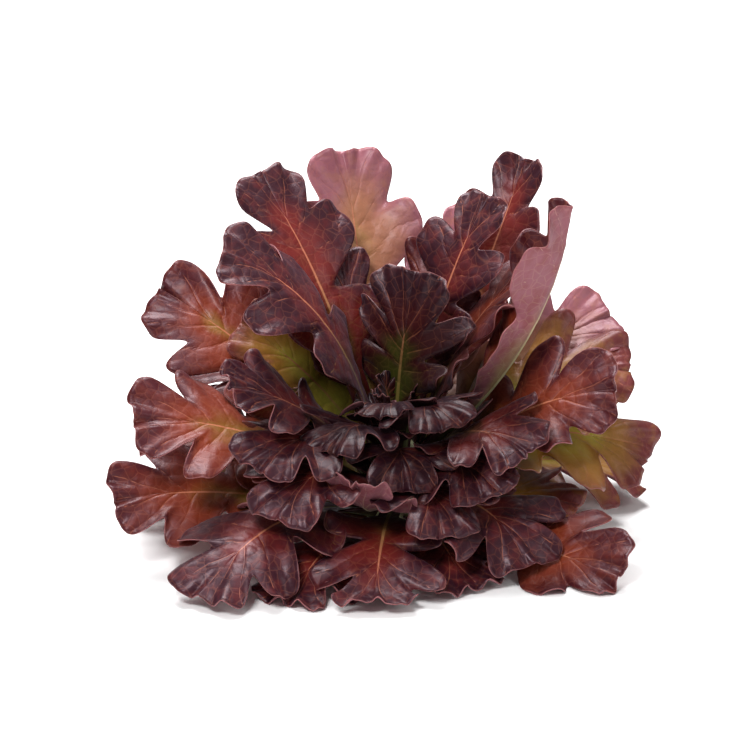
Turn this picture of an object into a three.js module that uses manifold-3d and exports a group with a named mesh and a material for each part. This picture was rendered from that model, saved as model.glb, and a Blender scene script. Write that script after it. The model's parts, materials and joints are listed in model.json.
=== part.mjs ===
// Red oak leaf lettuce: one loose-leaf head, cut at the root and standing on its cut.
// Lobed leaves grow from a short stem, each turned by the golden angle from the one before,
// the oldest lowest and widest spread, the youngest packed in a heart on the stem's tip.
// Millimetres and degrees, +Z up. The origin is the centre of the cut face.

import * as THREE from "three";
import { mergeVertices } from "three/addons/utils/BufferGeometryUtils.js";
import Module from "manifold-3d";

const wasm = await Module();
wasm.setup();

// Stem
const STEM_CUT_RADIUS = 16;
const STEM_TOP_RADIUS = 12.5;
const STEM_HEIGHT = 50;
const STEM_SIDES = 24;
const STEM_EDGE = 1; // by which the cut face is smaller than the stem above it
const STEM_RINGS = [1.5, 18, 34];
const FIT_GAP = 0.3; // between the stem and each leaf's root

// Where leaves leave the stem
const GOLDEN_ANGLE = 137.508;
const FIRST_AZIMUTH = 193;
const LOWEST_ROOT = 8;
const HIGHEST_ROOT = 46;
const ROOT_DEPTH = 2; // how far a root starts inside the stem, before the stem is cut away from it

// Leaf outline, as shares of the leaf's length unless said otherwise
const TIP_ROUNDNESS = 0.95; // the tip's reach beyond the last vein's foot, in half widths
const SLANT_POWER = 2; // how late the veins turn from square to the midrib to along it
const STALK_HALF_WIDTH = 0.036;
const STALK_LEAST = 0.8; // millimetres, added to that share
const BLADE_START = 0.22; // share of the outline, from root to tip, as are the sinus places
const LOWER_SINUS = 0.48;
const UPPER_SINUS = 0.7;
const SINUS_SPREAD = 0.04;
const SINUS_SHIFT = 0.05; // how far a sinus's place differs among leaves
const LOWER_DEPTH = [0.62, 0.86]; // shares of the outline that the sinuses take away
const UPPER_DEPTH = [0.4, 0.7];
const ENVELOPE = [[0, 0], [0.22, 0.02], [0.36, 0.86], [0.58, 1.14], [0.8, 1.02]]; // in half widths

// Leaf section
const BLADE_THICKNESS = 0.8;
const RIB_ROOT_THICKNESS = 3.6;
const RIB_TIP_THICKNESS = 1.0;
const RIB_ROOT_SPREAD = 5;
const RIB_TIP_SPREAD = 1.6;
const FULL_LENGTH = 150; // a shorter leaf has a slighter rib
const STALK_FOLD = 36; // the stalk is a trough
const LOBE_FLIP = 34; // the most that one lobe turns up or down by itself
const TIP_FLIP = 17; // the same at the tip
const FLIP_SPREAD = 0.09;

// Leaf posture
const ARCH_POWER = 1.35; // above 1, a midrib bends more towards its tip
const MIDRIB_STEPS = 24;
const SIDE_STEPS = 6;
const FLOOR_SOFTNESS = 2.5; // how gently a leaf that meets the surface flattens along it
const FLOOR_FIRST = 0.9; // the oldest leaf's height above the surface where it lies on it
const FLOOR_PER_RANK = 0.6;
const FLOOR_RANKS = 14;

// Mesh of a leaf
const COLUMNS = [0, 0.55, 1]; // shares of the way from the midrib to the margin
const LOWER_LOBE_ROWS = [0.4, 0.75]; // shares of the way from sinus to sinus
const UPPER_LOBE_ROWS = [0.25, 0.5, 0.75];
const TIP_ROWS = [0.28, 0.62, 1];
const MERGE_DISTANCE = 1e-4;

// How a leaf gives way to its neighbours: it changes by up to these, as little as it can
const MOST_GIVE = { lean: 18, swing: 16, arch: 34, roll: 34 };
const GIVE_TRIES = 200;
const GIVE_COST = 80; // the overlap, in cubic millimetres, that the greatest change is worth
const CLEARANCE = 0.5;
const TRIM_GAP = 0.4;

// The leaves, oldest first: where the tip is (azimuth, distance from the axis, height),
// how far the midrib arches over, the blade's half width, its roll about the midrib,
// the fold along the midrib (a roof below 0) and the turn from midrib to margin.
const LEAVES = [
  [193, 150, 32, 40, 29, -62, 6, -8],
  [331, 132, 38, 40, 31, 50, 6, -10],
  [108, 128, 16, 60, 36, 0, 8, -20],
  [243, 112, 4, 60, 30, 0, 6, -16],
  [26, 138, 14, 60, 36, 10, 8, -16],
  [168, 140, 6, 55, 34, -10, 8, -16],
  [297, 92, 4, 80, 32, 0, 4, -16],
  [76, 130, 14, 60, 36, 0, 8, -20],
  [226, 140, 5, 70, 34, -16, 6, -20],
  [350, 94, 30, 60, 30, 20, 8, -16],
  [130, 134, 14, 60, 36, 0, 8, -20],
  [267, 110, 3, 100, 31, 0, 6, -18],
  [46, 130, 34, 60, 36, 0, 8, -20],
  [174, 126, 66, 55, 32, -30, 8, -16],
  [314, 96, 8, 95, 34, 14, 6, -20],
  [96, 122, 50, 60, 36, 0, 8, -20],
  [236, 100, 34, 100, 31, -12, 8, -18],
  [4, 130, 36, 85, 34, 40, 6, -20],
  [148, 120, 72, 55, 34, -20, 8, -18],
  [284, 82, 36, 115, 31, 8, 8, -18],
  [62, 118, 80, 55, 34, 10, 8, -18],
  [196, 118, 110, 44, 34, -60, 4, -10],
  [343, 112, 98, 40, 30, 60, 6, -10],
  [118, 108, 112, 50, 34, 0, 8, -18],
  [258, 76, 64, -70, 26, 0, 10, 6],
  [26, 112, 116, 50, 32, 40, 8, -14],
  [172, 104, 146, 42, 32, -50, 8, -12],
  [309, 76, 64, 125, 29, 20, 8, -14],
  [65, 88, 160, 26, 26, 0, 10, -6],
  [222, 88, 72, 112, 31, -30, 8, -14],
  [8, 122, 86, 60, 32, 40, 6, -16],
  [165, 76, 114, 45, 28, -40, 8, -10],
  [270, 64, 58, 148, 28, 0, 8, -12],
  [50, 80, 192, 12, 20, 0, 14, 6],
  [205, 82, 108, 50, 28, -40, 8, -12],
  [322, 80, 86, 108, 29, 30, 8, -12],
  [110, 62, 196, 14, 30, 0, 6, -6],
  [240, 60, 74, 138, 27, -10, 8, -10],
  [16, 62, 146, 38, 26, 10, 6, -8],
  [144, 84, 182, 34, 28, -10, 6, -8],
  [300, 54, 80, 138, 27, 10, 8, -10],
  [66, 34, 150, 30, 25, 0, 4, -10],
  [188, 82, 162, 60, 32, -35, 4, -12],
  [341, 92, 188, -40, 22, 20, 46, 0],
  [124, 38, 146, 20, 26, 0, 8, -8],
  [262, 38, 86, 138, 24, 0, 8, -8],
  [36, 54, 174, 30, 24, 0, 6, -10],
];

// The heart: young leaves that stand round the stem's tip, and one taller that stands behind them
const HEART_LEAVES = 6;
const HEART_REACH = [10, 21];
const HEART_HEIGHT = [86, 72];
const HEART_ARCH = [30, 70];
const HEART_HALF_WIDTH = [8, 12];
const HEART_CORE_RADIUS = 6;
const HEART_CORE_HEIGHT = 8;
const HEART_CORE_SINK = 1;
const HEART_ROOT_HEIGHTS = [3, 11]; // above the stem, of the youngest leaf last
const HEART_ROLL_FOLD_CURL = [0, 14, 10];
const HEART_COLUMNS = [0, 1];
const HEART_ROOT_SINK = 2;
const TALL_ROOT = 91; // azimuth
const TALL_ROOT_HEIGHT = 4;
const TALL_LEAF = [60, 20, 138, 16, 35, 0, 6, -12];

// Colours: most leaves are purple, and those listed by rank are redder or greener
const PURPLE = new THREE.Color(0.17, 0.05, 0.08);
const RED = new THREE.Color(0.33, 0.09, 0.06);
const GREEN = new THREE.Color(0.38, 0.36, 0.12);
const DARKEST = new THREE.Color(0.13, 0.03, 0.05);
const STEM_PALE = new THREE.Color(0.72, 0.74, 0.48);
const RED_RANKS = [0, 1, 13, 15, 18, 21, 22, 26, 28, 36, 38, 41, 43];
const GREEN_RANKS = [2, 4, 5, 7, 9, 10, 12, 17, 20, 23, 25, 30, 31];
const SKIN_ROUGHNESS = 0.4;
const STEM_ROUGHNESS = 0.6;

const radians = THREE.MathUtils.degToRad;
const mix = THREE.MathUtils.lerp;

// A number from 0 to 1 that is always the same for the same leaf and place.
function draw(seed, place) {
  const wave = Math.sin(seed * 12.9898 + place * 78.233) * 43758.5453;
  return wave - Math.floor(wave);
}

// Eased values between listed [place, value] points.
function along(points, place) {
  let k = 0;
  while (k < points.length - 2 && place > points[k + 1][0]) k += 1;
  const [from, low] = points[k];
  const [to, high] = points[k + 1];
  const t = Math.min(Math.max((place - from) / (to - from), 0), 1);
  return mix(low, high, t * t * (3 - 2 * t));
}

function bump(place, centre, spread) {
  return Math.exp(-(((place - centre) / spread) ** 2));
}

// One side's two sinuses between lobes, and how far each of its three lobes turns by itself.
function sideOf(seed, side) {
  const at = side > 0 ? 10 : 20;
  const either = (most, place) => most * (draw(seed, place) * 2 - 1);
  const lower = LOWER_SINUS + either(SINUS_SHIFT / 2, at);
  const upper = UPPER_SINUS + either(SINUS_SHIFT / 2, at + 1);
  return {
    sinuses: [
      { place: lower, depth: mix(...LOWER_DEPTH, draw(seed, at + 2)) },
      { place: upper, depth: mix(...UPPER_DEPTH, draw(seed, at + 3)) },
    ],
    flips: [
      { place: (BLADE_START + lower) / 2, turn: either(LOBE_FLIP, at + 4) },
      { place: (lower + upper) / 2, turn: either(LOBE_FLIP, at + 5) },
      { place: (upper + 1) / 2, turn: either(TIP_FLIP, at + 6) },
    ],
  };
}

// The midrib as stations from root to tip, in the upright plane through both, and the frame at each.
function midribOf(root, tip, arch, lean, swing) {
  const across = tip.clone().sub(root);
  const chord = across.length();
  const rise = Math.atan2(across.z, Math.hypot(across.x, across.y)) + radians(lean);
  const heading = Math.atan2(across.y, across.x) + radians(swing);
  const bendAt = (share) => radians(arch) * share ** ARCH_POWER;
  let x = 0;
  let z = 0;
  for (let k = 0; k < MIDRIB_STEPS; k += 1) {
    const bend = bendAt((k + 0.5) / MIDRIB_STEPS);
    x += Math.cos(bend) / MIDRIB_STEPS;
    z -= Math.sin(bend) / MIDRIB_STEPS;
  }
  const length = chord / Math.hypot(x, z);
  const start = rise - Math.atan2(z, x);
  const outward = new THREE.Vector3(Math.cos(heading), Math.sin(heading), 0);
  const stations = [root.clone()];
  for (let k = 0; k < MIDRIB_STEPS; k += 1) {
    const pitch = start - bendAt((k + 0.5) / MIDRIB_STEPS);
    const step = outward.clone().multiplyScalar(Math.cos(pitch));
    step.z = Math.sin(pitch);
    stations.push(stations[k].clone().addScaledVector(step, length / MIDRIB_STEPS));
  }
  return { stations, length, outward, pitchAt: (share) => start - bendAt(Math.min(share, 1)) };
}

// A leaf's posture and outline, ready for leafPoint.
function makeLeaf(seed, root, habit, lean = 0, swing = 0) {
  const midrib = midribOf(root, habit.tip, habit.arch, lean, swing);
  return {
    ...habit,
    ...midrib,
    sideways: new THREE.Vector3(-midrib.outward.y, midrib.outward.x, 0),
    stalk: midrib.length * STALK_HALF_WIDTH + STALK_LEAST,
    lastFoot: midrib.length - TIP_ROUNDNESS * habit.halfWidth,
    sides: { "-1": sideOf(seed, -1), 1: sideOf(seed, 1) },
  };
}

const footOf = (leaf, place) => leaf.lastFoot * Math.sin(radians(90) * place);
const slantOf = (place) => radians(90) * place ** SLANT_POWER;

// How far the outline lies from the midrib, measured along the slanting vein.
function rayOf(leaf, side, place) {
  const points = ENVELOPE.map(([at, value]) => [at, value * leaf.halfWidth]);
  points.push([1, leaf.length - leaf.lastFoot - leaf.stalk]);
  const cut = leaf.sides[side].sinuses.reduce(
    (sum, sinus) => sum + sinus.depth * bump(place, sinus.place, SINUS_SPREAD),
    0,
  );
  return leaf.stalk + along(points, place) * (1 - cut);
}

// The point of the leaf's middle surface at a place along the outline and a share of the way out to it.
function leafPoint(leaf, side, place, share, beyond = 0) {
  const ray = (rayOf(leaf, side, place) + beyond) * share;
  const slant = slantOf(place);
  const out = place === 1 ? 0 : ray * Math.cos(slant);
  const forward = footOf(leaf, place) + ray * Math.sin(slant);
  const station = Math.min(forward / leaf.length, 1) * MIDRIB_STEPS;
  const k = Math.min(Math.floor(station), MIDRIB_STEPS - 1);
  const point = leaf.stations[k].clone().lerp(leaf.stations[k + 1], station - k);
  const pitch = leaf.pitchAt(forward / leaf.length);
  const ahead = leaf.outward.clone().multiplyScalar(Math.cos(pitch));
  ahead.z = Math.sin(pitch);
  point.addScaledVector(ahead, Math.max(forward - leaf.length, 0));
  const up = leaf.outward.clone().multiplyScalar(-Math.sin(pitch));
  up.z = Math.cos(pitch);
  const roll = radians(leaf.roll) * (forward / leaf.length);
  const sideways = leaf.sideways.clone().multiplyScalar(Math.cos(roll)).addScaledVector(up, Math.sin(roll));
  up.multiplyScalar(Math.cos(roll)).addScaledVector(leaf.sideways, -Math.sin(roll));
  const fold = mix(STALK_FOLD, leaf.fold, Math.min(place / BLADE_START, 1));
  const turn = leaf.sides[side].flips.reduce(
    (sum, flip) => sum + flip.turn * bump(place, flip.place, FLIP_SPREAD),
    leaf.curl,
  );
  for (let step = 0; step < SIDE_STEPS; step += 1) {
    const middle = ((step + 0.5) / SIDE_STEPS) * out;
    const angle = radians(fold + (turn * middle) / leaf.halfWidth);
    point.addScaledVector(sideways, (side * Math.cos(angle) * out) / SIDE_STEPS);
    point.addScaledVector(up, (Math.sin(angle) * out) / SIDE_STEPS);
  }
  point.z = leaf.floor + FLOOR_SOFTNESS * Math.log1p(Math.exp((point.z - leaf.floor) / FLOOR_SOFTNESS));
  return point;
}

function thicknessAt(leaf, side, place, share) {
  const forward = footOf(leaf, place) / leaf.lastFoot;
  const size = Math.min(leaf.length / FULL_LENGTH, 1);
  const rib = mix(RIB_ROOT_THICKNESS * size, RIB_TIP_THICKNESS, forward);
  const spread = mix(RIB_ROOT_SPREAD * size, RIB_TIP_SPREAD, forward);
  const away = rayOf(leaf, side, place) * share;
  return BLADE_THICKNESS + Math.max(rib - BLADE_THICKNESS, 0) * bump(away, 0, spread);
}

function rowsOf(leaf, side) {
  const [lower, upper] = leaf.sides[side].sinuses.map((sinus) => sinus.place);
  const between = (from, to, shares) => shares.map((share) => mix(from, to, share));
  return [
    0,
    BLADE_START,
    ...between(BLADE_START, lower, LOWER_LOBE_ROWS),
    lower,
    ...between(lower, upper, UPPER_LOBE_ROWS),
    upper,
    ...between(upper, 1, TIP_ROWS),
  ];
}

// The leaf as a closed solid: its middle surface thickened to both sides, with a rim.
// The rows of both sides meet along the midrib, whose points are those of the right side.
function leafGeometry(leaf, columns = COLUMNS, extra = 0) {
  const rows = { "-1": rowsOf(leaf, -1), 1: rowsOf(leaf, 1) };
  const reach = columns.length - 1;
  const wide = 2 * reach + 1;
  const last = rows[1].length - 1;
  const middle = [];
  const thickness = [];
  for (let i = 0; i <= last; i += 1) {
    for (let j = i < last ? -reach : 0; j <= reach; j += 1) {
      const side = j < 0 ? -1 : 1;
      const place = j === 0 ? rows[1][i] : rows[side][i];
      const share = columns[Math.abs(j)];
      middle.push(leafPoint(leaf, side, place, share, extra));
      thickness.push(thicknessAt(leaf, side, place, share) + extra);
    }
  }
  const at = (i, j) => (i < last ? i * wide + j + reach : last * wide + Math.abs(j));
  const faces = [];
  for (let i = 0; i < last; i += 1) {
    for (let j = -reach; j < reach; j += 1) {
      const corners = [at(i, j), at(i + 1, j), at(i + 1, j + 1), at(i, j + 1)];
      const [a, b, c, d] = corners;
      if (j < 0) faces.push([a, b, c], [a, c, d]);
      else faces.push([a, b, d], [b, c, d]);
    }
  }
  return thickened(middle, thickness, faces);
}

function thickened(middle, thickness, faces) {
  const normals = middle.map(() => new THREE.Vector3());
  for (const [a, b, c] of faces) {
    const normal = middle[b].clone().sub(middle[a]).cross(middle[c].clone().sub(middle[a]));
    for (const corner of [a, b, c]) normals[corner].add(normal);
  }
  const upper = middle.map((p, k) => p.clone().addScaledVector(normals[k].normalize(), thickness[k] / 2));
  const lower = middle.map((p, k) => p.clone().addScaledVector(normals[k], -thickness[k] / 2));
  const count = middle.length;
  const edges = new Set(faces.flatMap(([a, b, c]) => [`${a},${b}`, `${b},${c}`, `${c},${a}`]));
  const index = [];
  for (const [a, b, c] of faces) {
    index.push(a, b, c, a + count, c + count, b + count);
    for (const [u, v] of [[a, b], [b, c], [c, a]]) {
      if (!edges.has(`${v},${u}`)) index.push(v, u, u + count, v, u + count, v + count);
    }
  }
  const geometry = new THREE.BufferGeometry().setFromPoints([...upper, ...lower]);
  geometry.setIndex(index);
  return geometry;
}

function toSolid(geometry) {
  const bare = new THREE.BufferGeometry();
  bare.setAttribute("position", geometry.getAttribute("position"));
  if (geometry.index) bare.setIndex(geometry.index);
  const merged = mergeVertices(bare, MERGE_DISTANCE);
  return new wasm.Manifold(
    new wasm.Mesh({
      numProp: 3,
      vertProperties: merged.attributes.position.array,
      triVerts: new Uint32Array(merged.index.array),
    }),
  );
}

// The solid's largest body as a geometry.
function toGeometry(solid) {
  const bodies = solid.decompose();
  bodies.sort((a, b) => b.volume() - a.volume());
  const mesh = bodies[0].getMesh();
  const geometry = new THREE.BufferGeometry();
  geometry.setAttribute("position", new THREE.BufferAttribute(mesh.vertProperties, 3));
  geometry.setIndex(new THREE.BufferAttribute(mesh.triVerts, 1));
  geometry.computeVertexNormals();
  return geometry;
}

const stemRadiusAt = (z) => mix(STEM_CUT_RADIUS, STEM_TOP_RADIUS, z / STEM_HEIGHT);

// The stem is a turned shape, cut flat below, that narrows upwards. It can be made larger all over.
function stemGeometry(extra = 0) {
  const cutRadius = STEM_CUT_RADIUS - STEM_EDGE + extra;
  const profile = [new THREE.Vector2(0, -extra), new THREE.Vector2(cutRadius, -extra)];
  for (const z of [...STEM_RINGS, STEM_HEIGHT]) {
    profile.push(new THREE.Vector2(stemRadiusAt(z) + extra, z === STEM_HEIGHT ? z + extra : z));
  }
  profile.push(new THREE.Vector2(0, STEM_HEIGHT + extra));
  const turned = new THREE.LatheGeometry(profile, STEM_SIDES);
  return turned.rotateX(Math.PI / 2);
}

// A lathe turned upright can come out with its faces inwards, so a solid's sign is checked once here.
function solidFacingOut(geometry) {
  const solid = toSolid(geometry);
  if (solid.volume() > 0) return solid;
  const turned = geometry.index.array;
  for (let k = 0; k < turned.length; k += 3) [turned[k], turned[k + 1]] = [turned[k + 1], turned[k]];
  return toSolid(geometry);
}

function onAxis(azimuth, radius, z) {
  return new THREE.Vector3(
    radius * Math.cos(radians(azimuth)),
    radius * Math.sin(radians(azimuth)),
    z,
  );
}

function rootOf(rank) {
  const z = mix(LOWEST_ROOT, HIGHEST_ROOT, Math.min(rank / (LEAVES.length - 1), 1));
  const azimuth = FIRST_AZIMUTH + rank * GOLDEN_ANGLE;
  return onAxis(azimuth, stemRadiusAt(z) - ROOT_DEPTH, z);
}

function habitOf(row, floor) {
  const [azimuth, reach, height, arch, halfWidth, roll, fold, curl] = row;
  return { tip: onAxis(azimuth, reach, height), arch, halfWidth, roll, fold, curl, floor };
}

function heartSolid() {
  const core = new THREE.SphereGeometry(1, 10, 6);
  core.scale(HEART_CORE_RADIUS, HEART_CORE_RADIUS, HEART_CORE_HEIGHT);
  core.translate(0, 0, STEM_HEIGHT + HEART_CORE_HEIGHT - HEART_CORE_SINK);
  const sunk = HEART_CORE_RADIUS - HEART_ROOT_SINK;
  const tall = makeLeaf(
    LEAVES.length + HEART_LEAVES,
    onAxis(TALL_ROOT, sunk, STEM_HEIGHT + TALL_ROOT_HEIGHT),
    habitOf(TALL_LEAF, FLOOR_FIRST),
  );
  let heart = toSolid(core).add(toSolid(leafGeometry(tall)));
  for (let k = 0; k < HEART_LEAVES; k += 1) {
    const share = 1 - k / (HEART_LEAVES - 1);
    const azimuth = FIRST_AZIMUTH + (LEAVES.length + k) * GOLDEN_ANGLE;
    const row = [
      azimuth,
      mix(...HEART_REACH, share),
      mix(...HEART_HEIGHT, share),
      mix(...HEART_ARCH, share),
      mix(...HEART_HALF_WIDTH, share),
      ...HEART_ROLL_FOLD_CURL,
    ];
    const root = onAxis(azimuth, sunk, STEM_HEIGHT + mix(...HEART_ROOT_HEIGHTS, 1 - share));
    const young = makeLeaf(LEAVES.length + k, root, habitOf(row, FLOOR_FIRST));
    heart = heart.add(toSolid(leafGeometry(young, HEART_COLUMNS)));
  }
  return heart;
}

function named(name, geometry, colour, roughness) {
  const mesh = new THREE.Mesh(
    geometry,
    new THREE.MeshStandardMaterial({ color: colour, roughness, metalness: 0 }),
  );
  mesh.name = name;
  return mesh;
}

// The first change is none, and each later one may be larger than those before it.
function changeOf(attempt) {
  const size = Math.sqrt(attempt / GIVE_TRIES);
  const share = (place) => size * (2 * draw(attempt, place) - 1);
  return {
    lean: MOST_GIVE.lean * share(31),
    swing: MOST_GIVE.swing * share(32),
    arch: MOST_GIVE.arch * share(33),
    roll: MOST_GIVE.roll * share(34),
  };
}

function changed(rank, change) {
  const habit = habitOf(LEAVES[rank], FLOOR_FIRST + FLOOR_PER_RANK * Math.min(rank, FLOOR_RANKS));
  habit.arch += change.arch;
  habit.roll += change.roll;
  return makeLeaf(rank, rootOf(rank), habit, change.lean, change.swing);
}

const boxesMeet = (a, b) => [0, 1, 2].every((k) => a.min[k] < b.max[k] && b.min[k] < a.max[k]);

// How much of the solid lies in the others, or more than enough of it.
function overlapWith(solid, others, enough) {
  const box = solid.boundingBox();
  let overlap = 0;
  for (const other of others) {
    if (!boxesMeet(box, other.box)) continue;
    overlap += solid.intersect(other.solid).volume();
    if (overlap > enough) break;
  }
  return overlap;
}

// The leaf in the posture that is clearest of those already in place for the least change.
function settled(rank, others) {
  let best = { loss: Infinity };
  for (let attempt = 0; attempt < GIVE_TRIES; attempt += 1) {
    const cost = (GIVE_COST * attempt) / GIVE_TRIES;
    if (cost >= best.loss) break;
    const leaf = changed(rank, changeOf(attempt));
    const room = toSolid(leafGeometry(leaf, COLUMNS, CLEARANCE));
    const loss = cost + overlapWith(room, others, best.loss - cost);
    if (loss < best.loss) best = { leaf, loss };
  }
  return best.leaf;
}

function skinOf(rank) {
  if (RED_RANKS.includes(rank)) return RED;
  return GREEN_RANKS.includes(rank) ? GREEN : PURPLE;
}

const lettuce = new THREE.Group();
const stem = solidFacingOut(stemGeometry());
const stemRoom = solidFacingOut(stemGeometry(FIT_GAP));
const heart = heartSolid().subtract(stemRoom);
lettuce.add(named("stem", toGeometry(stem), STEM_PALE, STEM_ROUGHNESS));
lettuce.add(named("heart", toGeometry(heart), DARKEST, SKIN_ROUGHNESS));

const placed = [{ solid: heart, room: heart, box: heart.boundingBox() }];
for (let rank = LEAVES.length - 1; rank >= 0; rank -= 1) {
  const leaf = settled(rank, placed);
  let solid = toSolid(leafGeometry(leaf)).subtract(stemRoom);
  const box = solid.boundingBox();
  for (const other of placed) {
    if (boxesMeet(box, other.box) && solid.intersect(other.room).volume() > 0) {
      solid = solid.subtract(other.room);
    }
  }
  const room = toSolid(leafGeometry(leaf, COLUMNS, TRIM_GAP));
  placed.push({ solid, room, box: room.boundingBox() });
  const name = `leaf_${String(rank + 1).padStart(2, "0")}`;
  lettuce.add(named(name, toGeometry(solid), skinOf(rank), SKIN_ROUGHNESS));
}

export default lettuce;
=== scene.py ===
# Red oak leaf lettuce: the looks of one loose-leaf head standing on its cut stem.
# Every leaf is grown again by the frame's own rule, finer, with veins, blisters and waved margins.
# The rule works in millimetres and degrees; Blender's objects are in metres.

import json
import math

import bpy
import numpy as np
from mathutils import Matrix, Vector, noise


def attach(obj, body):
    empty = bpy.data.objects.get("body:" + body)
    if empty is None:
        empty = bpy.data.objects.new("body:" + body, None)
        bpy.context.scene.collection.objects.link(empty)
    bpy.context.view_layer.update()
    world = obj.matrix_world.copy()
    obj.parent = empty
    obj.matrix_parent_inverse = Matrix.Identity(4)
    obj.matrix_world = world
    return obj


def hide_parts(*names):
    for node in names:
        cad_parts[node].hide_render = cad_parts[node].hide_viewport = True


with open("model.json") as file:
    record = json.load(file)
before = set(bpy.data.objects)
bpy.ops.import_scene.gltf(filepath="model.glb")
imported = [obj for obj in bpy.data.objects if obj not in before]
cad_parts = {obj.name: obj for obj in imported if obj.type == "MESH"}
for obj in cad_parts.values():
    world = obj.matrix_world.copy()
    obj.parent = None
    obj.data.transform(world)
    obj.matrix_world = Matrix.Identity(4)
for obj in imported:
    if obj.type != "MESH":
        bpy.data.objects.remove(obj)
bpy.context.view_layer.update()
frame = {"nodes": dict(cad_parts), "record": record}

MM = 0.001

# Stem; its foot and shoulder are rounded by these steps inwards and upwards
STEM_CUT_RADIUS = 16
STEM_TOP_RADIUS = 12.5
STEM_HEIGHT = 50
STEM_SIDES = 72
STEM_RINGS = 30
STEM_INSET = 0.1
STEM_FOOT = [(2, 0), (0.6, 0.25)]
STEM_SIDE_START = 1.5
STEM_SIDE_END = 1
STEM_SHOULDER = (1.2, 0.2)
STEM_FLUTES = 9
STEM_FLUTE_TWIST = 0.15
STEM_FLUTE_DEPTH = 0.004

# Where leaves leave the stem
GOLDEN_ANGLE = 137.508
FIRST_AZIMUTH = 193
LOWEST_ROOT = 8
HIGHEST_ROOT = 46
ROOT_DEPTH = 2

# Leaf outline: places run from 0 at the root to 1 at the tip
TIP_ROUNDNESS = 0.95
SLANT_POWER = 2
STALK_HALF_WIDTH = 0.036
STALK_LEAST = 0.8
BLADE_START = 0.22
LOWER_SINUS = 0.48
UPPER_SINUS = 0.7
SINUS_SPREAD = 0.04
SINUS_SHIFT = 0.05
LOWER_DEPTH = [0.62, 0.86]
UPPER_DEPTH = [0.4, 0.7]
ENVELOPE = [[0, 0], [0.22, 0.02], [0.36, 0.86], [0.58, 1.14], [0.8, 1.02]]

# Leaf section and posture
RIB_ROOT_THICKNESS = 3.6
RIB_TIP_THICKNESS = 1.0
RIB_ROOT_SPREAD = 5
RIB_TIP_SPREAD = 1.6
FULL_LENGTH = 150
STALK_FOLD = 36
LOBE_FLIP = 34
TIP_FLIP = 17
FLIP_SPREAD = 0.09
ARCH_POWER = 1.35
MIDRIB_STEPS = 24
MIDRIB_SUBSTEPS = 8
SIDE_STEPS = 6
FLOOR_SOFTNESS = 2.5
FLOOR_FIRST = 0.9
FLOOR_PER_RANK = 0.6
FLOOR_RANKS = 14

# How the frame's leaves give way to one another
MOST_GIVE = {"lean": 18, "swing": 16, "arch": 34, "roll": 34}
GIVE_TRIES = 200

# The leaves, oldest first: azimuth, reach and height of the tip, arch, half width, roll, fold, curl
LEAVES = [
    [193, 150, 32, 40, 29, -62, 6, -8],
    [331, 132, 38, 40, 31, 50, 6, -10],
    [108, 128, 16, 60, 36, 0, 8, -20],
    [243, 112, 4, 60, 30, 0, 6, -16],
    [26, 138, 14, 60, 36, 10, 8, -16],
    [168, 140, 6, 55, 34, -10, 8, -16],
    [297, 92, 4, 80, 32, 0, 4, -16],
    [76, 130, 14, 60, 36, 0, 8, -20],
    [226, 140, 5, 70, 34, -16, 6, -20],
    [350, 94, 30, 60, 30, 20, 8, -16],
    [130, 134, 14, 60, 36, 0, 8, -20],
    [267, 110, 3, 100, 31, 0, 6, -18],
    [46, 130, 34, 60, 36, 0, 8, -20],
    [174, 126, 66, 55, 32, -30, 8, -16],
    [314, 96, 8, 95, 34, 14, 6, -20],
    [96, 122, 50, 60, 36, 0, 8, -20],
    [236, 100, 34, 100, 31, -12, 8, -18],
    [4, 130, 36, 85, 34, 40, 6, -20],
    [148, 120, 72, 55, 34, -20, 8, -18],
    [284, 82, 36, 115, 31, 8, 8, -18],
    [62, 118, 80, 55, 34, 10, 8, -18],
    [196, 118, 110, 44, 34, -60, 4, -10],
    [343, 112, 98, 40, 30, 60, 6, -10],
    [118, 108, 112, 50, 34, 0, 8, -18],
    [258, 76, 64, -70, 26, 0, 10, 6],
    [26, 112, 116, 50, 32, 40, 8, -14],
    [172, 104, 146, 42, 32, -50, 8, -12],
    [309, 76, 64, 125, 29, 20, 8, -14],
    [65, 88, 160, 26, 26, 0, 10, -6],
    [222, 88, 72, 112, 31, -30, 8, -14],
    [8, 122, 86, 60, 32, 40, 6, -16],
    [165, 76, 114, 45, 28, -40, 8, -10],
    [270, 64, 58, 148, 28, 0, 8, -12],
    [50, 80, 192, 12, 20, 0, 14, 6],
    [205, 82, 108, 50, 28, -40, 8, -12],
    [322, 80, 86, 108, 29, 30, 8, -12],
    [110, 62, 196, 14, 30, 0, 6, -6],
    [240, 60, 74, 138, 27, -10, 8, -10],
    [16, 62, 146, 38, 26, 10, 6, -8],
    [144, 84, 182, 34, 28, -10, 6, -8],
    [300, 54, 80, 138, 27, 10, 8, -10],
    [66, 34, 150, 30, 25, 0, 4, -10],
    [188, 82, 162, 60, 32, -35, 4, -12],
    [341, 92, 188, -40, 22, 20, 46, 0],
    [124, 38, 146, 20, 26, 0, 8, -8],
    [262, 38, 86, 138, 24, 0, 8, -8],
    [36, 54, 174, 30, 24, 0, 6, -10],
]

# The heart
HEART_LEAVES = 6
HEART_REACH = [10, 21]
HEART_HEIGHT = [86, 72]
HEART_ARCH = [30, 70]
HEART_HALF_WIDTH = [8, 12]
HEART_ROLL_FOLD_CURL = [0, 14, 10]
HEART_CORE_RADIUS = 6
HEART_CORE_HEIGHT = 8
HEART_ROOT_SINK = 2
HEART_CORE_SINK = 1
HEART_CORE_SIDES = 32
HEART_CORE_STEPS = 16
HEART_ROOT_HEIGHTS = [3, 11]
TALL_ROOT = 91
TALL_LEAF = [60, 20, 138, 16, 35, 0, 6, -12]
TALL_ROOT_HEIGHT = 4

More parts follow.
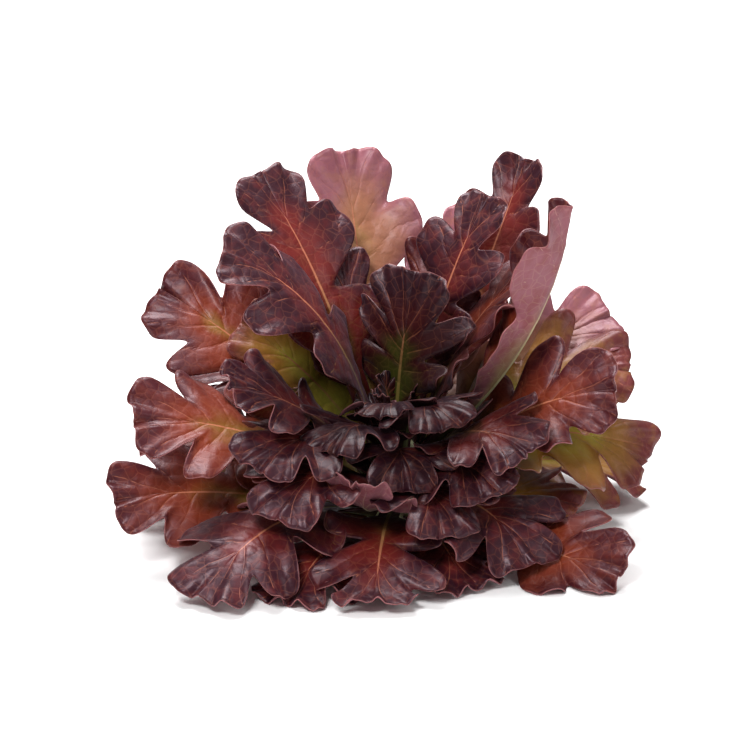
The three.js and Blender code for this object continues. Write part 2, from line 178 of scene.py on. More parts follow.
# Fineness of a dressed leaf; a power below 1 crowds its columns towards the margin
FINE_ROWS = 104
FINE_COLUMNS = 14
SMALL_ROWS = 64
SMALL_COLUMNS = 8
COLUMN_POWER = 0.9

# Section of a dressed leaf, in millimetres, and the share of its rib that rises above the skin
SKIN_THICKNESS = 0.55
LIFT_OFF_FLOOR = 0.25
RIB_ABOVE = 0.1

# Painted shade: leaves are darkened towards the middle of the head, where the outer leaves shade them:
# over these distances, down to this share
HEAD_MIDDLE = (0, -15, 65)
PAINTED_SHADE_WITHIN = [32, 95]
DARKEST_PAINTED_SHADE = 0.32

# Relief of a dressed leaf: heights and widths in millimetres, for a leaf of full width
FULL_HALF_WIDTH = 28
VEIN_VALLEY = 0.16
VEIN_WIDTH = 1.6
BLISTER_SIZE = 12
BLISTER_HEIGHT = 0.5
BLISTERS_START = 5
MARGIN_WAVE = 1.9
MARGIN_RIPPLE = 0.35

# How often veins, waves and scallops repeat along one side
VEINS_PER_SIDE = 7
WAVES_PER_SIDE = [5.3, 9.1, 17.3]
SCALLOPS_PER_SIDE = 9.5

# Shares: of the outline's places, of the way from midrib to margin, or of a height
RELIEF_START = 0.18
RELIEF_RISE = 0.1
BLADE_OPENING = 0.12
TIP_CALM = 0.06
SCALLOP_DEPTH = 0.012
SECOND_WAVE = 0.6
VEIN_BEND = 0.012
VEIN_BENDS = 7
VEIN_SPACING = 0.8
BLISTER_FULL = 0.55
BLISTER_LOSS = 0.6
MARGIN_START = 0.8

# How far apart the blister patterns of two leaves lie, in blisters
BLISTER_SHIFT = 1.7

# Leaves by rank whose colour is deeper than their kind's, or younger, and those that are pale: partly
# their own paler colour, partly painted sheen and painted light shining through them
DEEP_RANKS = [3, 6, 8, 11, 14, 16, 19, 24, 27, 29, 32, 34, 35, 37, 40, 42, 43, 45, 46]
YOUNG_RANKS = [12, 17, 21, 30, 31]
PALE_AND_SHEEN_RANKS = [20, 25, 28, 36]
DEEP_TONE = 0.14
YOUNG_TONE = -0.15
TONE_RANGE = 0.1

# Colours of each kind of leaf, on top: of its lobes, of its inside and by its stalk
SKIN_COLOURS = {
    "purple": [(0.025, 0.003, 0.007), (0.135, 0.011, 0.007), (0.14, 0.1, 0.01)],
    "red": [(0.05, 0.005, 0.007), (0.165, 0.023, 0.006), (0.24, 0.165, 0.016)],
    "green": [(0.12, 0.022, 0.02), (0.29, 0.135, 0.018), (0.38, 0.34, 0.04)],
    # Pale leaves: partly their own paler colour, partly painted sheen and painted light shining through
    # them
    "pale": [(0.24, 0.08, 0.1), (0.3, 0.12, 0.06), (0.38, 0.29, 0.04)],
    "heart": [(0.016, 0.002, 0.005), (0.055, 0.006, 0.006), (0.08, 0.09, 0.01)],
}

# Colours that all leaves share, each pair from the stalk outwards
BELOW = [(0.24, 0.26, 0.06, 1.0), (0.23, 0.075, 0.092, 1.0)]
RIB_ON_TOP = [(0.42, 0.33, 0.08, 1.0), (0.46, 0.15, 0.08, 1.0)]
RIB_BELOW = [(0.55, 0.56, 0.26, 1.0), (0.5, 0.28, 0.22, 1.0)]
EDGE = (0.36, 0.13, 0.12, 1.0)

# Gloss of a leaf: a thin wet coat, a reddish shine and a little down
LEAF_GLOSS = {
    "Coat Weight": 0.07,
    "Coat Roughness": 0.2,
    "Specular Tint": (1.0, 0.7, 0.8, 1.0),
    "Sheen Weight": 0.05,
    "Sheen Roughness": 0.45,
    "Sheen Tint": (0.7, 0.62, 0.85, 1.0),
}
SHINE_ON_TOP = 0.36
ROUGH_BELOW = 0.56
ROUGH_ON_TOP = [0.38, 0.5]

# How many cells or grains the patterns have in a metre
CLOUD_SCALE = 26
MOTTLE_SCALE = 140
NET_SCALE = 170
CRINKLE_SCALE = 900

# Where the stem stands in the picture, in pixels of the photograph, and what one pixel measures
PHOTO_SIZE = 750
STEM_PIXEL_X = 396
GROUND_PIXEL_Y = 536
MM_PER_PIXEL = 0.512

# Camera: degrees above level, metres to the head, and a sensor's width in millimetres
CAMERA_ELEVATION = 20
CAMERA_DISTANCE = 2.0
SENSOR_WIDTH = 36

# Studio, in metres and watts: each light's place, size and power
LIGHTS = {
    "top": ((-0.2, 0.6, 1.4), 0.9, 38),
    "key": ((-0.35, -0.85, 1.1), 0.35, 14),
    "fill": ((1.1, -0.6, 0.9), 0.7, 5),
}
LIGHTS_AIM = (0, 0, 0.08)
SKY_STRENGTH = 0.24
FLOOR_SIZE = 12


def mix(low, high, share):
    return low * (1 - share) + high * share


def draw(seed, place):
    """A number from 0 to 1 that is always the same for the same leaf and place."""
    wave = math.sin(seed * 12.9898 + place * 78.233) * 43758.5453
    return wave - math.floor(wave)


def either(seed, place, most):
    return most * (2 * draw(seed, place) - 1)


def smooth(share):
    share = np.clip(share, 0, 1)
    return share * share * (3 - 2 * share)


def along(points, place):
    """A smooth curve through pairs of place and value."""
    at = np.array([point[0] for point in points], float)
    value = np.array([point[1] for point in points], float)
    k = np.clip(np.searchsorted(at, place, side="left") - 1, 0, len(at) - 2)
    return mix(value[k], value[k + 1], smooth((place - at[k]) / (at[k + 1] - at[k])))


def bump(place, centre, spread):
    return np.exp(-(((place - centre) / spread) ** 2))


def on_axis(azimuth, radius, z):
    angle = math.radians(azimuth)
    return np.array([radius * math.cos(angle), radius * math.sin(angle), z])


def stem_radius_at(z):
    return mix(STEM_CUT_RADIUS, STEM_TOP_RADIUS, z / STEM_HEIGHT)


def side_of(seed, side):
    """One side's sinuses between lobes, and how far each of its three lobes turns by itself."""
    at = 10 if side > 0 else 20
    lower = LOWER_SINUS + either(seed, at, SINUS_SHIFT / 2)
    upper = UPPER_SINUS + either(seed, at + 1, SINUS_SHIFT / 2)
    sinuses = [
        (lower, mix(*LOWER_DEPTH, draw(seed, at + 2))),
        (upper, mix(*UPPER_DEPTH, draw(seed, at + 3))),
    ]
    flips = [
        ((BLADE_START + lower) / 2, either(seed, at + 4, LOBE_FLIP)),
        ((lower + upper) / 2, either(seed, at + 5, LOBE_FLIP)),
        ((upper + 1) / 2, either(seed, at + 6, TIP_FLIP)),
    ]
    return sinuses, flips


class Leaf:
    """A leaf's midrib, outline and posture, by the same rule as the frame's leaves."""

    def __init__(self, seed, root, row, floor, change=(0, 0, 0, 0)):
        azimuth, reach, height, arch, half_width, roll, fold, curl = row
        lean, swing, more_arch, more_roll = change
        self.seed = seed
        self.arch = arch + more_arch
        self.roll = roll + more_roll
        self.half_width = half_width
        self.fold = fold
        self.curl = curl
        self.floor = floor
        across = on_axis(azimuth, reach, height) - root
        level = math.hypot(across[0], across[1])
        rise = math.atan2(across[2], level) + math.radians(lean)
        heading = math.atan2(across[1], across[0]) + math.radians(swing)
        bend = self.bend_at((np.arange(MIDRIB_STEPS) + 0.5) / MIDRIB_STEPS)
        x = np.cos(bend).mean()
        z = -np.sin(bend).mean()
        self.length = np.linalg.norm(across) / math.hypot(x, z)
        self.start = rise - math.atan2(z, x)
        self.outward = np.array([math.cos(heading), math.sin(heading), 0])
        self.sideways = np.array([-self.outward[1], self.outward[0], 0])
        steps = MIDRIB_STEPS * MIDRIB_SUBSTEPS
        pitch = self.start - self.bend_at((np.arange(steps) + 0.5) / steps)
        moves = self.direction(pitch) * self.length / steps
        self.stations = np.vstack([root, root + np.cumsum(moves, axis=0)])
        self.stalk = self.length * STALK_HALF_WIDTH + STALK_LEAST
        self.last_foot = self.length - TIP_ROUNDNESS * half_width
        self.sides = {-1: side_of(seed, -1), 1: side_of(seed, 1)}

    def bend_at(self, share):
        return math.radians(self.arch) * np.minimum(share, 1) ** ARCH_POWER

    def direction(self, pitch):
        up = np.array([0, 0, 1.0])
        return self.outward * np.cos(pitch)[..., None] + up * np.sin(pitch)[..., None]

    def foot(self, place):
        return self.last_foot * np.sin(math.radians(90) * place)

    def ray(self, side, place):
        points = [[at, value * self.half_width] for at, value in ENVELOPE]
        points.append([1, self.length - self.last_foot - self.stalk])
        sinuses = self.sides[side][0]
        cut = sum(depth * bump(place, at, SINUS_SPREAD) for at, depth in sinuses)
        return self.stalk + along(points, place) * (1 - cut)

    def point(self, side, place, share, scallop=0.0):
        """Points of the middle surface, and how far each lies from the midrib."""
        wave = np.sin(math.tau * (SCALLOPS_PER_SIDE * place + draw(self.seed, 41 + side)))
        inside_tip = smooth((place - BLADE_START) / BLADE_OPENING) * smooth((1 - place) / TIP_CALM)
        ray = self.ray(side, place) * (1 + scallop * wave * inside_tip) * share
        slant = math.radians(90) * place**SLANT_POWER
        out = np.where(place >= 1, 0, ray * np.cos(slant))
        forward = self.foot(place) + ray * np.sin(slant)
        count = len(self.stations) - 1
        station = np.minimum(forward / self.length, 1) * count
        k = np.minimum(np.floor(station).astype(int), count - 1)
        step = (station - k)[..., None]
        point = mix(self.stations[k], self.stations[k + 1], step)
        pitch = self.start - self.bend_at(forward / self.length)
        beyond = np.maximum(forward - self.length, 0)[..., None]
        point = point + self.direction(pitch) * beyond
        up = self.direction(pitch + math.radians(90))
        roll = math.radians(self.roll) * (forward / self.length)[..., None]
        sideways = self.sideways * np.cos(roll) + up * np.sin(roll)
        up = up * np.cos(roll) - self.sideways * np.sin(roll)
        fold = mix(STALK_FOLD, self.fold, np.minimum(place / BLADE_START, 1))
        turn = self.curl + sum(flip * bump(place, at, FLIP_SPREAD) for at, flip in self.sides[side][1])
        for part in range(SIDE_STEPS):
            middle = (part + 0.5) / SIDE_STEPS * out
            angle = np.radians(fold + turn * middle / self.half_width)[..., None]
            stretch = out[..., None] / SIDE_STEPS
            point = point + (sideways * side * np.cos(angle) + up * np.sin(angle)) * stretch
        depth = (point[..., 2] - self.floor) / FLOOR_SOFTNESS
        point[..., 2] = self.floor + FLOOR_SOFTNESS * np.log1p(np.exp(depth))
        return point, ray

    def rib(self, place, away):
        """How much thicker than its blade the leaf is, near its midrib."""
        share = self.foot(place) / self.last_foot
        size = min(self.length / FULL_LENGTH, 1)
        height = mix(RIB_ROOT_THICKNESS * size, RIB_TIP_THICKNESS, share) - SKIN_THICKNESS
        spread = mix(RIB_ROOT_SPREAD * size, RIB_TIP_SPREAD, share)
        return np.maximum(height, 0) * bump(away, 0, spread)


def change_of(attempt):
    """One of the possible changes of posture; later attempts change more."""
    size = math.sqrt(attempt / GIVE_TRIES)
    places = {"lean": 31, "swing": 32, "arch": 33, "roll": 34}
    return [either(attempt, at, MOST_GIVE[way] * size) for way, at in places.items()]


def node_points(name):
    mesh = frame["nodes"][name].data
    points = np.empty(len(mesh.vertices) * 3)
    mesh.vertices.foreach_get("co", points)
    return points.reshape(-1, 3) / MM


def misfit(leaf, solid):
    """How far the ends of a leaf's lobes and sinuses lie from the corners of a solid, as a median."""
    probes = []
    for side in (-1, 1):
        lower, upper = (at for at, depth in leaf.sides[side][0])
        place = np.array([(BLADE_START + lower) / 2, lower, (lower + upper) / 2, upper, 1.0])
        probes.append(leaf.point(side, place, np.ones(len(place)))[0])
    probes = np.vstack(probes)
    gaps = np.linalg.norm(probes[:, None, :] - solid[None, :, :], axis=2).min(axis=1)
    return np.median(gaps)


def leaf_as_in_frame(rank):
    """The leaf in whichever of the possible postures the frame's own leaf has taken."""
    root_height = mix(LOWEST_ROOT, HIGHEST_ROOT, rank / (len(LEAVES) - 1))
    azimuth = FIRST_AZIMUTH + rank * GOLDEN_ANGLE
    root = on_axis(azimuth, stem_radius_at(root_height) - ROOT_DEPTH, root_height)
    floor = FLOOR_FIRST + FLOOR_PER_RANK * min(rank, FLOOR_RANKS)
    solid = node_points(f"leaf_{rank + 1:02d}")
    changes = [change_of(attempt) for attempt in range(GIVE_TRIES)]
    postures = [Leaf(rank, root, LEAVES[rank], floor, change) for change in changes]
    return min(postures, key=lambda leaf: misfit(leaf, solid))


def leaf_grid(leaf, rows, columns):
    """Middle points of both sides in one grid, with each point's place, share, side and distance."""
    places = np.linspace(0, 1, rows + 1)
    shares = np.linspace(0, 1, columns + 1) ** COLUMN_POWER
    body = places[:-1, None] * np.ones(columns + 1)
    spread = np.ones(rows)[:, None] * shares
    right, right_away = leaf.point(1, body, spread, SCALLOP_DEPTH)
    left, left_away = leaf.point(-1, body[:, 1:], spread[:, 1:], SCALLOP_DEPTH)
    tip, tip_away = leaf.point(1, np.ones(columns + 1), shares, SCALLOP_DEPTH)
    point = np.concatenate([left[:, ::-1], right], axis=1).reshape(-1, 3)
    away = np.concatenate([left_away[:, ::-1], right_away], axis=1).ravel()
    place = np.concatenate([body[:, 1:], body], axis=1).ravel()
    share = np.concatenate([spread[:, 1:][:, ::-1], spread], axis=1).ravel()
    side = np.concatenate([-np.ones_like(body[:, 1:]), np.ones_like(body)], axis=1).ravel()
    return {
        "point": np.vstack([point, tip]),
        "away": np.append(away, tip_away),
        "place": np.append(place, np.ones(columns + 1)),
        "share": np.append(share, shares),
        "side": np.append(side, np.ones(columns + 1)),
    }


def leaf_faces(rows, columns):
    """Triangles of the grid, wound so that they face the leaf's upper side."""
    wide = 2 * columns + 1

    def at(i, j):
        return i * wide + j + columns if i < rows else rows * wide + abs(j)

    faces = []
    for i in range(rows):
        for j in range(-columns, columns):
            a, b, c, d = at(i, j), at(i + 1, j), at(i + 1, j + 1), at(i, j + 1)
            if j < 0:
                faces += [(a, b, c), (a, c, d)]
            else:
                faces += [(a, b, d), (b, c, d)]
    return np.array(faces)


def normals_of(points, faces):
    a, b, c = (points[faces[:, k]] for k in range(3))
    across = np.cross(b - a, c - a)
    normals = np.zeros_like(points)
    for k in range(3):
        np.add.at(normals, faces[:, k], across)
    return normals / (np.linalg.norm(normals, axis=1, keepdims=True) + 1e-12)


def vein_distance(leaf, grid):
    """Millimetres to the nearest side vein, for veins that follow the outline's rays."""
    place, side, share = grid["place"], grid["side"], grid["share"]
    bent = place - VEIN_BEND * np.sin(VEIN_BENDS * share + side + leaf.seed)
    beat = bent * VEINS_PER_SIDE + np.where(side > 0, 0, 0.5)
    gap = np.abs(beat - np.floor(beat) - 0.5) / VEINS_PER_SIDE
    widening = leaf.last_foot * math.radians(90) * np.cos(math.radians(90) * place)
    fanning = math.radians(90) * SLANT_POWER * place * grid["away"]
    return gap * (widening * VEIN_SPACING + fanning)


def forward_of(leaf, grid):
    """Millimetres from the root, along the midrib."""
    slant = math.radians(90) * grid["place"] ** SLANT_POWER
    return leaf.foot(grid["place"]) + grid["away"] * np.sin(slant)


def relief(leaf, grid):
    """How far each point rises towards the upper side, in millimetres."""
    place, share, away = grid["place"], grid["share"], grid["away"]
    size = min(leaf.half_width / FULL_HALF_WIDTH, 1)
    blade = smooth((place - RELIEF_START) / RELIEF_RISE)
    veins = vein_distance(leaf, grid)
    valleys = -VEIN_VALLEY * bump(veins, 0, VEIN_WIDTH)
    across = grid["side"] * away / BLISTER_SIZE
    forward = forward_of(leaf, grid) / BLISTER_SIZE
    blisters = np.empty(len(place))
    for k in range(len(place)):
        near = noise.voronoi(Vector((across[k], forward[k], leaf.seed * BLISTER_SHIFT)))[0]
        blisters[k] = near[1] - near[0]
    blisters = BLISTER_HEIGHT * smooth(blisters / BLISTER_FULL)
    calm = BLISTER_LOSS * smooth((share - MARGIN_START) / (1 - MARGIN_START))
    blisters *= smooth(away / BLISTERS_START) * (1 - calm)
    phase = math.tau * draw(leaf.seed, 51)
    turn = math.tau * place * grid["side"]
    wide, narrow, fine = (
        np.sin(waves * turn + (k + 1) * phase) for k, waves in enumerate(WAVES_PER_SIDE)
    )
    edge = share**3 * smooth((place - BLADE_START) / BLADE_OPENING)
    margin = (MARGIN_WAVE * (wide + SECOND_WAVE * narrow) + MARGIN_RIPPLE * fine * share**3) * edge
    return size * ((valleys + blisters) * blade + margin)


def add_floats(mesh, name, values):
    mesh.attributes.new(name, "FLOAT", "POINT").data.foreach_set("value", values.astype(np.float32))


def tone_of(seed):
    """How much deeper a leaf's colour is than its kind's."""
    tone = either(seed, 61, TONE_RANGE)
    if seed in DEEP_RANKS:
        return tone + DEEP_TONE
    if seed in YOUNG_RANKS:
        return tone + YOUNG_TONE
    return tone


def rim_of(faces, count):
    """Faces that join the upper skin's edge to the lower skin's, whose points come after count."""
    edges = {(f[k], f[(k + 1) % 3]) for f in faces.tolist() for k in range(3)}
    rim = []
    for u, v in sorted(edges):
        if (v, u) not in edges:
            rim += [(v, u, u + count), (v, u + count, v + count)]
    return np.array(rim)


def leaf_object(name, leaf, material, small=False):
    """A closed, thin leaf with a raised rib below and blisters between its veins."""
    rows, columns = (SMALL_ROWS, SMALL_COLUMNS) if small else (FINE_ROWS, FINE_COLUMNS)
    grid = leaf_grid(leaf, rows, columns)
    faces = leaf_faces(rows, columns)
    smooth_normals = normals_of(grid["point"], faces)
    middle = grid["point"] + smooth_normals * relief(leaf, grid)[:, None]
    normals = normals_of(middle, faces)
    rib = leaf.rib(grid["place"], grid["away"])[:, None]
    upper = middle + normals * (SKIN_THICKNESS / 2 + RIB_ABOVE * rib)
    lower = middle - normals * (SKIN_THICKNESS / 2 + (1 - RIB_ABOVE) * rib)
    count = len(middle)
    points = np.vstack([upper, lower])
    rising = normals[:, 2] > 0
    least = LIFT_OFF_FLOOR + SKIN_THICKNESS * np.concatenate([rising, ~rising])
    points[:, 2] = np.maximum(points[:, 2], least)
    everything = np.vstack([faces, faces[:, ::-1] + count, rim_of(faces, count)])
    mesh = bpy.data.meshes.new(name)
    mesh.from_pydata((points * MM).tolist(), [], everything.tolist())
    mesh.shade_smooth()
    add_floats(mesh, "upper", np.repeat([1.0, 0.0], count))
    add_floats(mesh, "away", np.tile(grid["away"], 2))
    add_floats(mesh, "forward", np.tile(forward_of(leaf, grid) / leaf.length, 2))
    add_floats(mesh, "share", np.tile(grid["share"], 2))
    add_floats(mesh, "vein", np.tile(vein_distance(leaf, grid), 2))
    add_floats(mesh, "tone", np.full(2 * count, tone_of(leaf.seed)))
    # Distance from the head's middle, which the skin uses for its painted shade
    add_floats(mesh, "reach", np.linalg.norm(points - HEAD_MIDDLE, axis=1))
    mesh.materials.append(material)
    leaf_piece = bpy.data.objects.new(name, mesh)
    bpy.context.scene.collection.objects.link(leaf_piece)
    return leaf_piece


class Nodes:
    """Short names for building one material's nodes."""

    def __init__(self, name):
        self.material = bpy.data.materials.new(name)
        self.material.use_nodes = True
        self.tree = self.material.node_tree
        self.shader = self.tree.nodes["Principled BSDF"]

    def add(self, kind, **settings):
        node = self.tree.nodes.new(kind)
        for key, value in settings.items():
            setattr(node, key, value)
        return node

    def put(self, value, socket):
        if isinstance(value, bpy.types.NodeSocket):
            self.tree.links.new(value, socket)
        else:
            socket.default_value = value

    def attribute(self, name):
        return self.add("ShaderNodeAttribute", attribute_name=name).outputs["Fac"]

    def math(self, operation, a, b=0.0):
        node = self.add("ShaderNodeMath", operation=operation)
        self.put(a, node.inputs[0])
        self.put(b, node.inputs[1])
        return node.outputs[0]

    def ramp(self, value, low, high, to_low=0.0, to_high=1.0):
        node = self.add("ShaderNodeMapRange", interpolation_type="SMOOTHSTEP")
        self.put(value, node.inputs["Value"])
        self.put(low, node.inputs["From Min"])
        self.put(high, node.inputs["From Max"])
        self.put(to_low, node.inputs["To Min"])
        self.put(to_high, node.inputs["To Max"])
        return node.outputs["Result"]

    def blend(self, factor, a, b, kind="MIX"):
        node = self.add("ShaderNodeMix", data_type="RGBA", blend_type=kind)
        self.put(factor, node.inputs[0])
        self.put(a, node.inputs[6])
        self.put(b, node.inputs[7])
        return node.outputs[2]

    def noise(self, scale, detail=3.0, roughness=0.5):
        node = self.add("ShaderNodeTexNoise")
        self.put(self.place(), node.inputs["Vector"])
        self.put(scale, node.inputs["Scale"])
        self.put(detail, node.inputs["Detail"])
        self.put(roughness, node.inputs["Roughness"])
        return node.outputs["Fac"]

    def net(self, scale):
        node = self.add("ShaderNodeTexVoronoi", feature="DISTANCE_TO_EDGE")
        self.put(self.place(), node.inputs["Vector"])
        self.put(scale, node.inputs["Scale"])
        return node.outputs["Distance"]

    def place(self):
        return self.add("ShaderNodeTexCoord").outputs["Object"]

    def relief(self, height, strength, distance):
        node = self.add("ShaderNodeBump")
        self.put(height, node.inputs["Height"])
        self.put(strength, node.inputs["Strength"])
        self.put(distance, node.inputs["Distance"])
        self.put(node.outputs["Normal"], self.shader.inputs["Normal"])


def colour(red, green, blue):
    return (red, green, blue, 1.0)


def vein_strength(nodes, away, forward, vein, net):
    """How strongly the midrib, the side veins and the fine net of veins show, from 0 to 1."""
    midrib_width = nodes.math("SUBTRACT", 1.5, nodes.math("MULTIPLY", forward, 1.1))
    midrib = nodes.ramp(nodes.math("DIVIDE", away, midrib_width), 0.5, 1.15, 1.0, 0.0)
    side_vein = nodes.ramp(vein, 0.1, 0.42, 0.55, 0.0)
    fine_vein = nodes.ramp(net, 0.0, 0.06, 0.13, 0.0)
    veins = nodes.math("MAXIMUM", nodes.math("MAXIMUM", midrib, side_vein), fine_vein)
    return nodes.math("MULTIPLY", veins, nodes.ramp(forward, 0.0, 0.2, 0.4, 0.85))


def add_leaf_gloss(nodes, upper, mottle, light):
    """Uneven gloss on top, duller beneath, and less shine where the painted shade darkens the middle of
    the head.
    """
    rough = nodes.add("ShaderNodeMix", data_type="FLOAT")
    nodes.put(upper, rough.inputs[0])
    nodes.put(ROUGH_BELOW, rough.inputs[2])
    nodes.put(nodes.ramp(mottle, 0.3, 0.7, *ROUGH_ON_TOP), rough.inputs[3])
    nodes.put(rough.outputs[0], nodes.shader.inputs["Roughness"])
    shine = nodes.math("MULTIPLY", light, SHINE_ON_TOP)
    nodes.put(shine, nodes.shader.inputs["Specular IOR Level"])
    for socket, value in LEAF_GLOSS.items():
        nodes.put(value, nodes.shader.inputs[socket])


def add_leaf_grain(nodes, vein, net):
    """The finest relief: a net of small cells, a crinkle and sunken side veins."""
    crinkle = nodes.math("MULTIPLY", nodes.noise(CRINKLE_SCALE, 2.0), 0.5)
    height = nodes.math("ADD", nodes.ramp(net, 0.0, 0.3, 0.0, 0.5), crinkle)
    height = nodes.math("ADD", height, nodes.math("MULTIPLY", nodes.ramp(vein, 0.0, 1.2), 0.8))
    nodes.relief(height, 0.5, 0.0004)


def leaf_skin(name, deep, warm, young):
    """Leaf skin: deep colour at the margins, warm inside, young by the stalk, pale beneath, and painted
    shade towards the middle of the head.
    """
    deep, warm, young = (colour(*part) for part in (deep, warm, young))
    nodes = Nodes(name)
    upper = nodes.attribute("upper")
    away = nodes.attribute("away")
    forward = nodes.attribute("forward")
    share = nodes.attribute("share")
    vein = nodes.attribute("vein")
    cloud = nodes.noise(CLOUD_SCALE, 4.0)
    mottle = nodes.noise(MOTTLE_SCALE, 3.0)
    net = nodes.net(NET_SCALE)

    spread = nodes.attribute("tone")
    for part, weight in ((forward, 0.75), (share, 0.5), (cloud, 0.7)):
        spread = nodes.math("ADD", spread, nodes.math("MULTIPLY", part, weight))
    top = nodes.blend(nodes.ramp(spread, 0.55, 0.98), young, warm)
    top = nodes.blend(nodes.ramp(spread, 0.95, 1.4), top, deep)
    top = nodes.blend(nodes.ramp(mottle, 0.45, 0.7, 0.0, 0.35), top, warm)

    below = nodes.blend(nodes.ramp(spread, 0.5, 1.0), *BELOW)
    below = nodes.blend(nodes.ramp(mottle, 0.4, 0.7, 0.0, 0.4), below, warm)
    skin = nodes.blend(upper, below, top)

    rib_top = nodes.blend(nodes.ramp(forward, 0.15, 0.7), *RIB_ON_TOP)
    rib_below = nodes.blend(nodes.ramp(forward, 0.3, 1.0), *RIB_BELOW)
    rib = nodes.blend(upper, rib_below, rib_top)
    skin = nodes.blend(vein_strength(nodes, away, forward, vein, net), skin, rib)
    skin = nodes.blend(nodes.ramp(share, 0.985, 1.0, 0.0, 0.4), skin, EDGE)
    # Painted shade: the colour is darkened towards the middle of the head, and the same share weakens
    # the shine there
    light = nodes.ramp(nodes.attribute("reach"), *PAINTED_SHADE_WITHIN, DARKEST_PAINTED_SHADE, 1.0)
    skin = nodes.blend(1.0, skin, light, "MULTIPLY")
    nodes.put(skin, nodes.shader.inputs["Base Color"])
    add_leaf_gloss(nodes, upper, mottle, light)
    add_leaf_grain(nodes, vein, net)
    return nodes.material


def stem_flesh():
    """Pale green stem with a moist cut face that has browned a little."""
    nodes = Nodes("stem_flesh")
    cloud = nodes.noise(60.0, 4.0)
    fibre = nodes.noise(400.0, 2.0)
    flesh = nodes.blend(nodes.ramp(cloud, 0.35, 0.65), colour(0.62, 0.66, 0.36), colour(0.72, 0.7, 0.46))
    flesh = nodes.blend(nodes.ramp(fibre, 0.5, 0.75, 0.0, 0.4), flesh, colour(0.42, 0.25, 0.12))
    nodes.put(flesh, nodes.shader.inputs["Base Color"])
    nodes.put(nodes.ramp(cloud, 0.3, 0.7, 0.4, 0.6), nodes.shader.inputs["Roughness"])
    nodes.relief(fibre, 0.4, 0.0005)
    return nodes.material


def floor_white():
    """A matt, nearly even white floor."""
    nodes = Nodes("floor_white")
    grain = nodes.noise(8.0, 2.0)
    whites = [colour(shade, shade, shade) for shade in (0.93, 0.95)]
    white = nodes.blend(nodes.ramp(grain, 0.3, 0.7), *whites)
    nodes.put(white, nodes.shader.inputs["Base Color"])
    nodes.put(0.9, nodes.shader.inputs["Roughness"])
    return nodes.material


def turned_object(name, profile, sides, material, flute_depth=0.0):
    """A closed turned shape from (radius, height) pairs, whose first and last are on the axis."""
    points = [(0.0, 0.0, profile[0][1])]
    for radius, z in profile[1:-1]:
        for k in range(sides):
            angle = math.tau * k / sides
            flute = math.sin(STEM_FLUTES * angle + STEM_FLUTE_TWIST * z)
            wide = radius * (1 + flute_depth * flute)
            points.append((wide * math.cos(angle), wide * math.sin(angle), z))
    points.append((0.0, 0.0, profile[-1][1]))
    rings = len(profile) - 2
    faces = []
    for k in range(sides):
        after = (k + 1) % sides
        faces.append((0, 1 + after, 1 + k))
        for ring in range(rings - 1):
            low = 1 + ring * sides
            faces.append((low + k, low + after, low + sides + after, low + sides + k))
        top = 1 + (rings - 1) * sides
        faces.append((top + k, top + after, len(points) - 1))
    mesh = bpy.data.meshes.new(name)
    mesh.from_pydata((np.array(points) * MM).tolist(), [], faces)
    mesh.shade_smooth()
    mesh.materials.append(material)
    turned = bpy.data.objects.new(name, mesh)
    bpy.context.scene.collection.objects.link(turned)
    return turned


def dress_stem(material):
    """The stem with a rounded cut edge, and faintly fluted."""
    profile = [(0, 0)] + [(STEM_CUT_RADIUS - inwards, z) for inwards, z in STEM_FOOT]
    for ring in range(STEM_RINGS + 1):
        z = mix(STEM_SIDE_START, STEM_HEIGHT - STEM_SIDE_END, ring / STEM_RINGS)
        profile.append((stem_radius_at(z) - STEM_INSET, z))
    inwards, down = STEM_SHOULDER
    profile += [(STEM_TOP_RADIUS - inwards, STEM_HEIGHT - down), (0, STEM_HEIGHT)]
    stem = turned_object("stem_dressed", profile, STEM_SIDES, material, STEM_FLUTE_DEPTH)
    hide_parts("stem")
    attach(stem, "root")


def dress_leaves(skins):
    slots = {part["node"]: part["material_slot"] for part in frame["record"]["subparts"]}
    for rank in range(len(LEAVES)):
        node = f"leaf_{rank + 1:02d}"
        slot = slots[node]
        # Pale leaves get a skin that is partly their own colour, partly painted sheen and painted light
        # shining through
        skin = skins["pale" if rank in PALE_AND_SHEEN_RANKS else slot.removeprefix("leaf_")]
        piece = leaf_object(f"{node}_dressed", leaf_as_in_frame(rank), skin)
        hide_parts(node)
        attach(piece, "root")


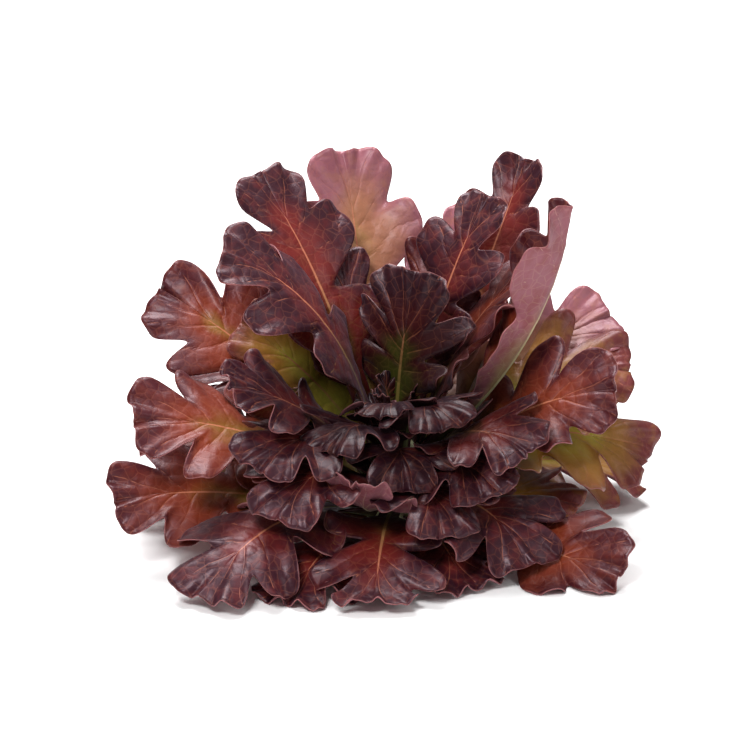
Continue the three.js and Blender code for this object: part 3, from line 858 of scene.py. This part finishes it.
def dress_heart(material):
    sunk = HEART_CORE_RADIUS - HEART_ROOT_SINK
    first = len(LEAVES)
    tall_root = on_axis(TALL_ROOT, sunk, STEM_HEIGHT + TALL_ROOT_HEIGHT)
    tall = Leaf(first + HEART_LEAVES, tall_root, TALL_LEAF, FLOOR_FIRST)
    pieces = [leaf_object("heart_tall", tall, material)]
    for k in range(HEART_LEAVES):
        share = 1 - k / (HEART_LEAVES - 1)
        azimuth = FIRST_AZIMUTH + (first + k) * GOLDEN_ANGLE
        ranges = (HEART_REACH, HEART_HEIGHT, HEART_ARCH, HEART_HALF_WIDTH)
        row = [azimuth] + [mix(low, high, share) for low, high in ranges] + HEART_ROLL_FOLD_CURL
        root = on_axis(azimuth, sunk, STEM_HEIGHT + mix(*HEART_ROOT_HEIGHTS, 1 - share))
        young = Leaf(first + k, root, row, FLOOR_FIRST)
        pieces.append(leaf_object(f"heart_young_{k + 1}", young, material, small=True))
    middle = STEM_HEIGHT + HEART_CORE_HEIGHT - HEART_CORE_SINK
    turns = [math.radians(180 * k / HEART_CORE_STEPS) for k in range(HEART_CORE_STEPS + 1)]
    profile = [
        (HEART_CORE_RADIUS * math.sin(turn), middle - HEART_CORE_HEIGHT * math.cos(turn))
        for turn in turns
    ]
    pieces.append(turned_object("heart_core", profile, HEART_CORE_SIDES, material))
    for piece in pieces:
        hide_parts("heart")
        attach(piece, "root")


def lay_floor():
    bpy.ops.mesh.primitive_plane_add(size=FLOOR_SIZE, location=(0, 0, 0))
    floor = bpy.context.object
    floor.name = "floor"
    floor.data.materials.append(floor_white())


def aim(thing, target):
    direction = Vector(target) - thing.location
    thing.rotation_euler = direction.to_track_quat("-Z", "Y").to_euler()


def area_light(name, place, size, power):
    light = bpy.data.lights.new(name, "AREA")
    light.size = size
    light.energy = power
    lamp = bpy.data.objects.new(name, light)
    lamp.location = place
    bpy.context.scene.collection.objects.link(lamp)
    aim(lamp, LIGHTS_AIM)


def light_studio():
    world = bpy.data.worlds.new("studio")
    world.use_nodes = True
    background = world.node_tree.nodes["Background"]
    background.inputs["Color"].default_value = (1, 1, 1, 1)
    background.inputs["Strength"].default_value = SKY_STRENGTH
    bpy.context.scene.world = world
    for name, (place, size, power) in LIGHTS.items():
        area_light(name, place, size, power)
    bpy.context.scene.view_settings.view_transform = "Standard"


def place_camera():
    elevation = math.radians(CAMERA_ELEVATION)
    centre_x = (PHOTO_SIZE / 2 - STEM_PIXEL_X) * MM_PER_PIXEL * MM
    centre_up = (GROUND_PIXEL_Y - PHOTO_SIZE / 2) * MM_PER_PIXEL * MM
    target = Vector((centre_x, 0, centre_up / math.cos(elevation)))
    camera_data = bpy.data.cameras.new("camera")
    camera_data.sensor_width = SENSOR_WIDTH
    camera_data.lens = SENSOR_WIDTH * CAMERA_DISTANCE / (PHOTO_SIZE * MM_PER_PIXEL * MM)
    camera = bpy.data.objects.new("camera", camera_data)
    back = Vector((0, -math.cos(elevation), math.sin(elevation)))
    camera.location = target + back * CAMERA_DISTANCE
    bpy.context.scene.collection.objects.link(camera)
    aim(camera, target)
    bpy.context.scene.camera = camera


skins = {kind: leaf_skin(f"skin_{kind}", *colours) for kind, colours in SKIN_COLOURS.items()}

place_camera()
light_studio()
lay_floor()
dress_stem(stem_flesh())
dress_leaves(skins)
dress_heart(skins["heart"])
